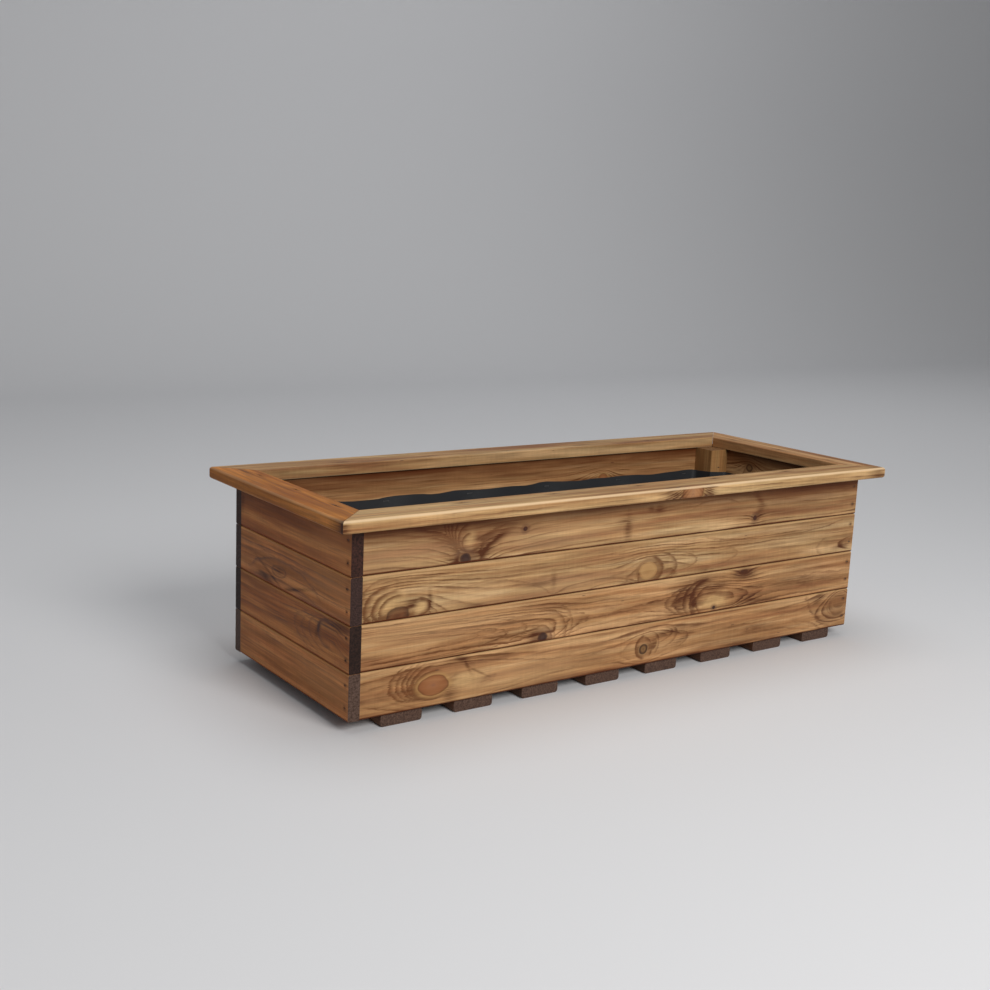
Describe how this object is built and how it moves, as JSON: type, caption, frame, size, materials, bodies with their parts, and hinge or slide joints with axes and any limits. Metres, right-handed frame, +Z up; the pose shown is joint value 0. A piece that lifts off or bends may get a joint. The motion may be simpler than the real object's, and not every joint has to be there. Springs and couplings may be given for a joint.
{
  "type": "trough planter",
  "caption": "Long wooden trough planter of stacked planed boards lapped at the corners, with an overhanging mitred rim, a slatted floor that makes the feet, and a stapled sheet liner.",
  "frame": {"origin": "on the ground, under the middle of the trough's outline", "axes": "+Z up, +X along the trough to the right as seen from the front, front wall towards -Y"},
  "size_m": [1.104, 0.439, 0.3175],
  "materials": {
    "wall_wood": "planed pine, honey-brown stain, satin",
    "rim_wood": "planed pine, honey-brown stain, satin",
    "slat_wood": "planed softwood, dark brown preservative stain, matt",
    "post_wood": "sawn softwood, thin brown stain, matt",
    "brad_steel": "galvanised wire, dulled dark",
    "liner_sheet": "woven black polypropylene, low sheen",
    "staple_steel": "galvanised wire, bright"
  },
  "bodies": {
    "root": {"back_board_1": "wall_wood", "back_board_2": "wall_wood", "back_board_3": "wall_wood", "back_board_4": "wall_wood", "back_left_post": "post_wood", "back_right_post": "post_wood", "back_rim_rail": "rim_wood", "corner_brads": "brad_steel", "floor_brads": "brad_steel", "floor_slat_1": "slat_wood", "floor_slat_2": "slat_wood", "floor_slat_3": "slat_wood", "floor_slat_4": "slat_wood", "floor_slat_5": "slat_wood", "floor_slat_6": "slat_wood", "floor_slat_7": "slat_wood", "floor_slat_8": "slat_wood", "front_board_1": "wall_wood", "front_board_2": "wall_wood", "front_board_3": "wall_wood", "front_board_4": "wall_wood", "front_left_post": "post_wood", "front_right_post": "post_wood", "front_rim_rail": "rim_wood", "left_end_board_1": "wall_wood", "left_end_board_2": "wall_wood", "left_end_board_3": "wall_wood", "left_end_board_4": "wall_wood", "left_rim_rail": "rim_wood", "liner": "liner_sheet", "liner_staples": "staple_steel", "post_brads": "brad_steel", "right_end_board_1": "wall_wood", "right_end_board_2": "wall_wood", "right_end_board_3": "wall_wood", "right_end_board_4": "wall_wood", "right_rim_rail": "rim_wood", "rim_brads": "brad_steel"}
  },
  "joints": []
}
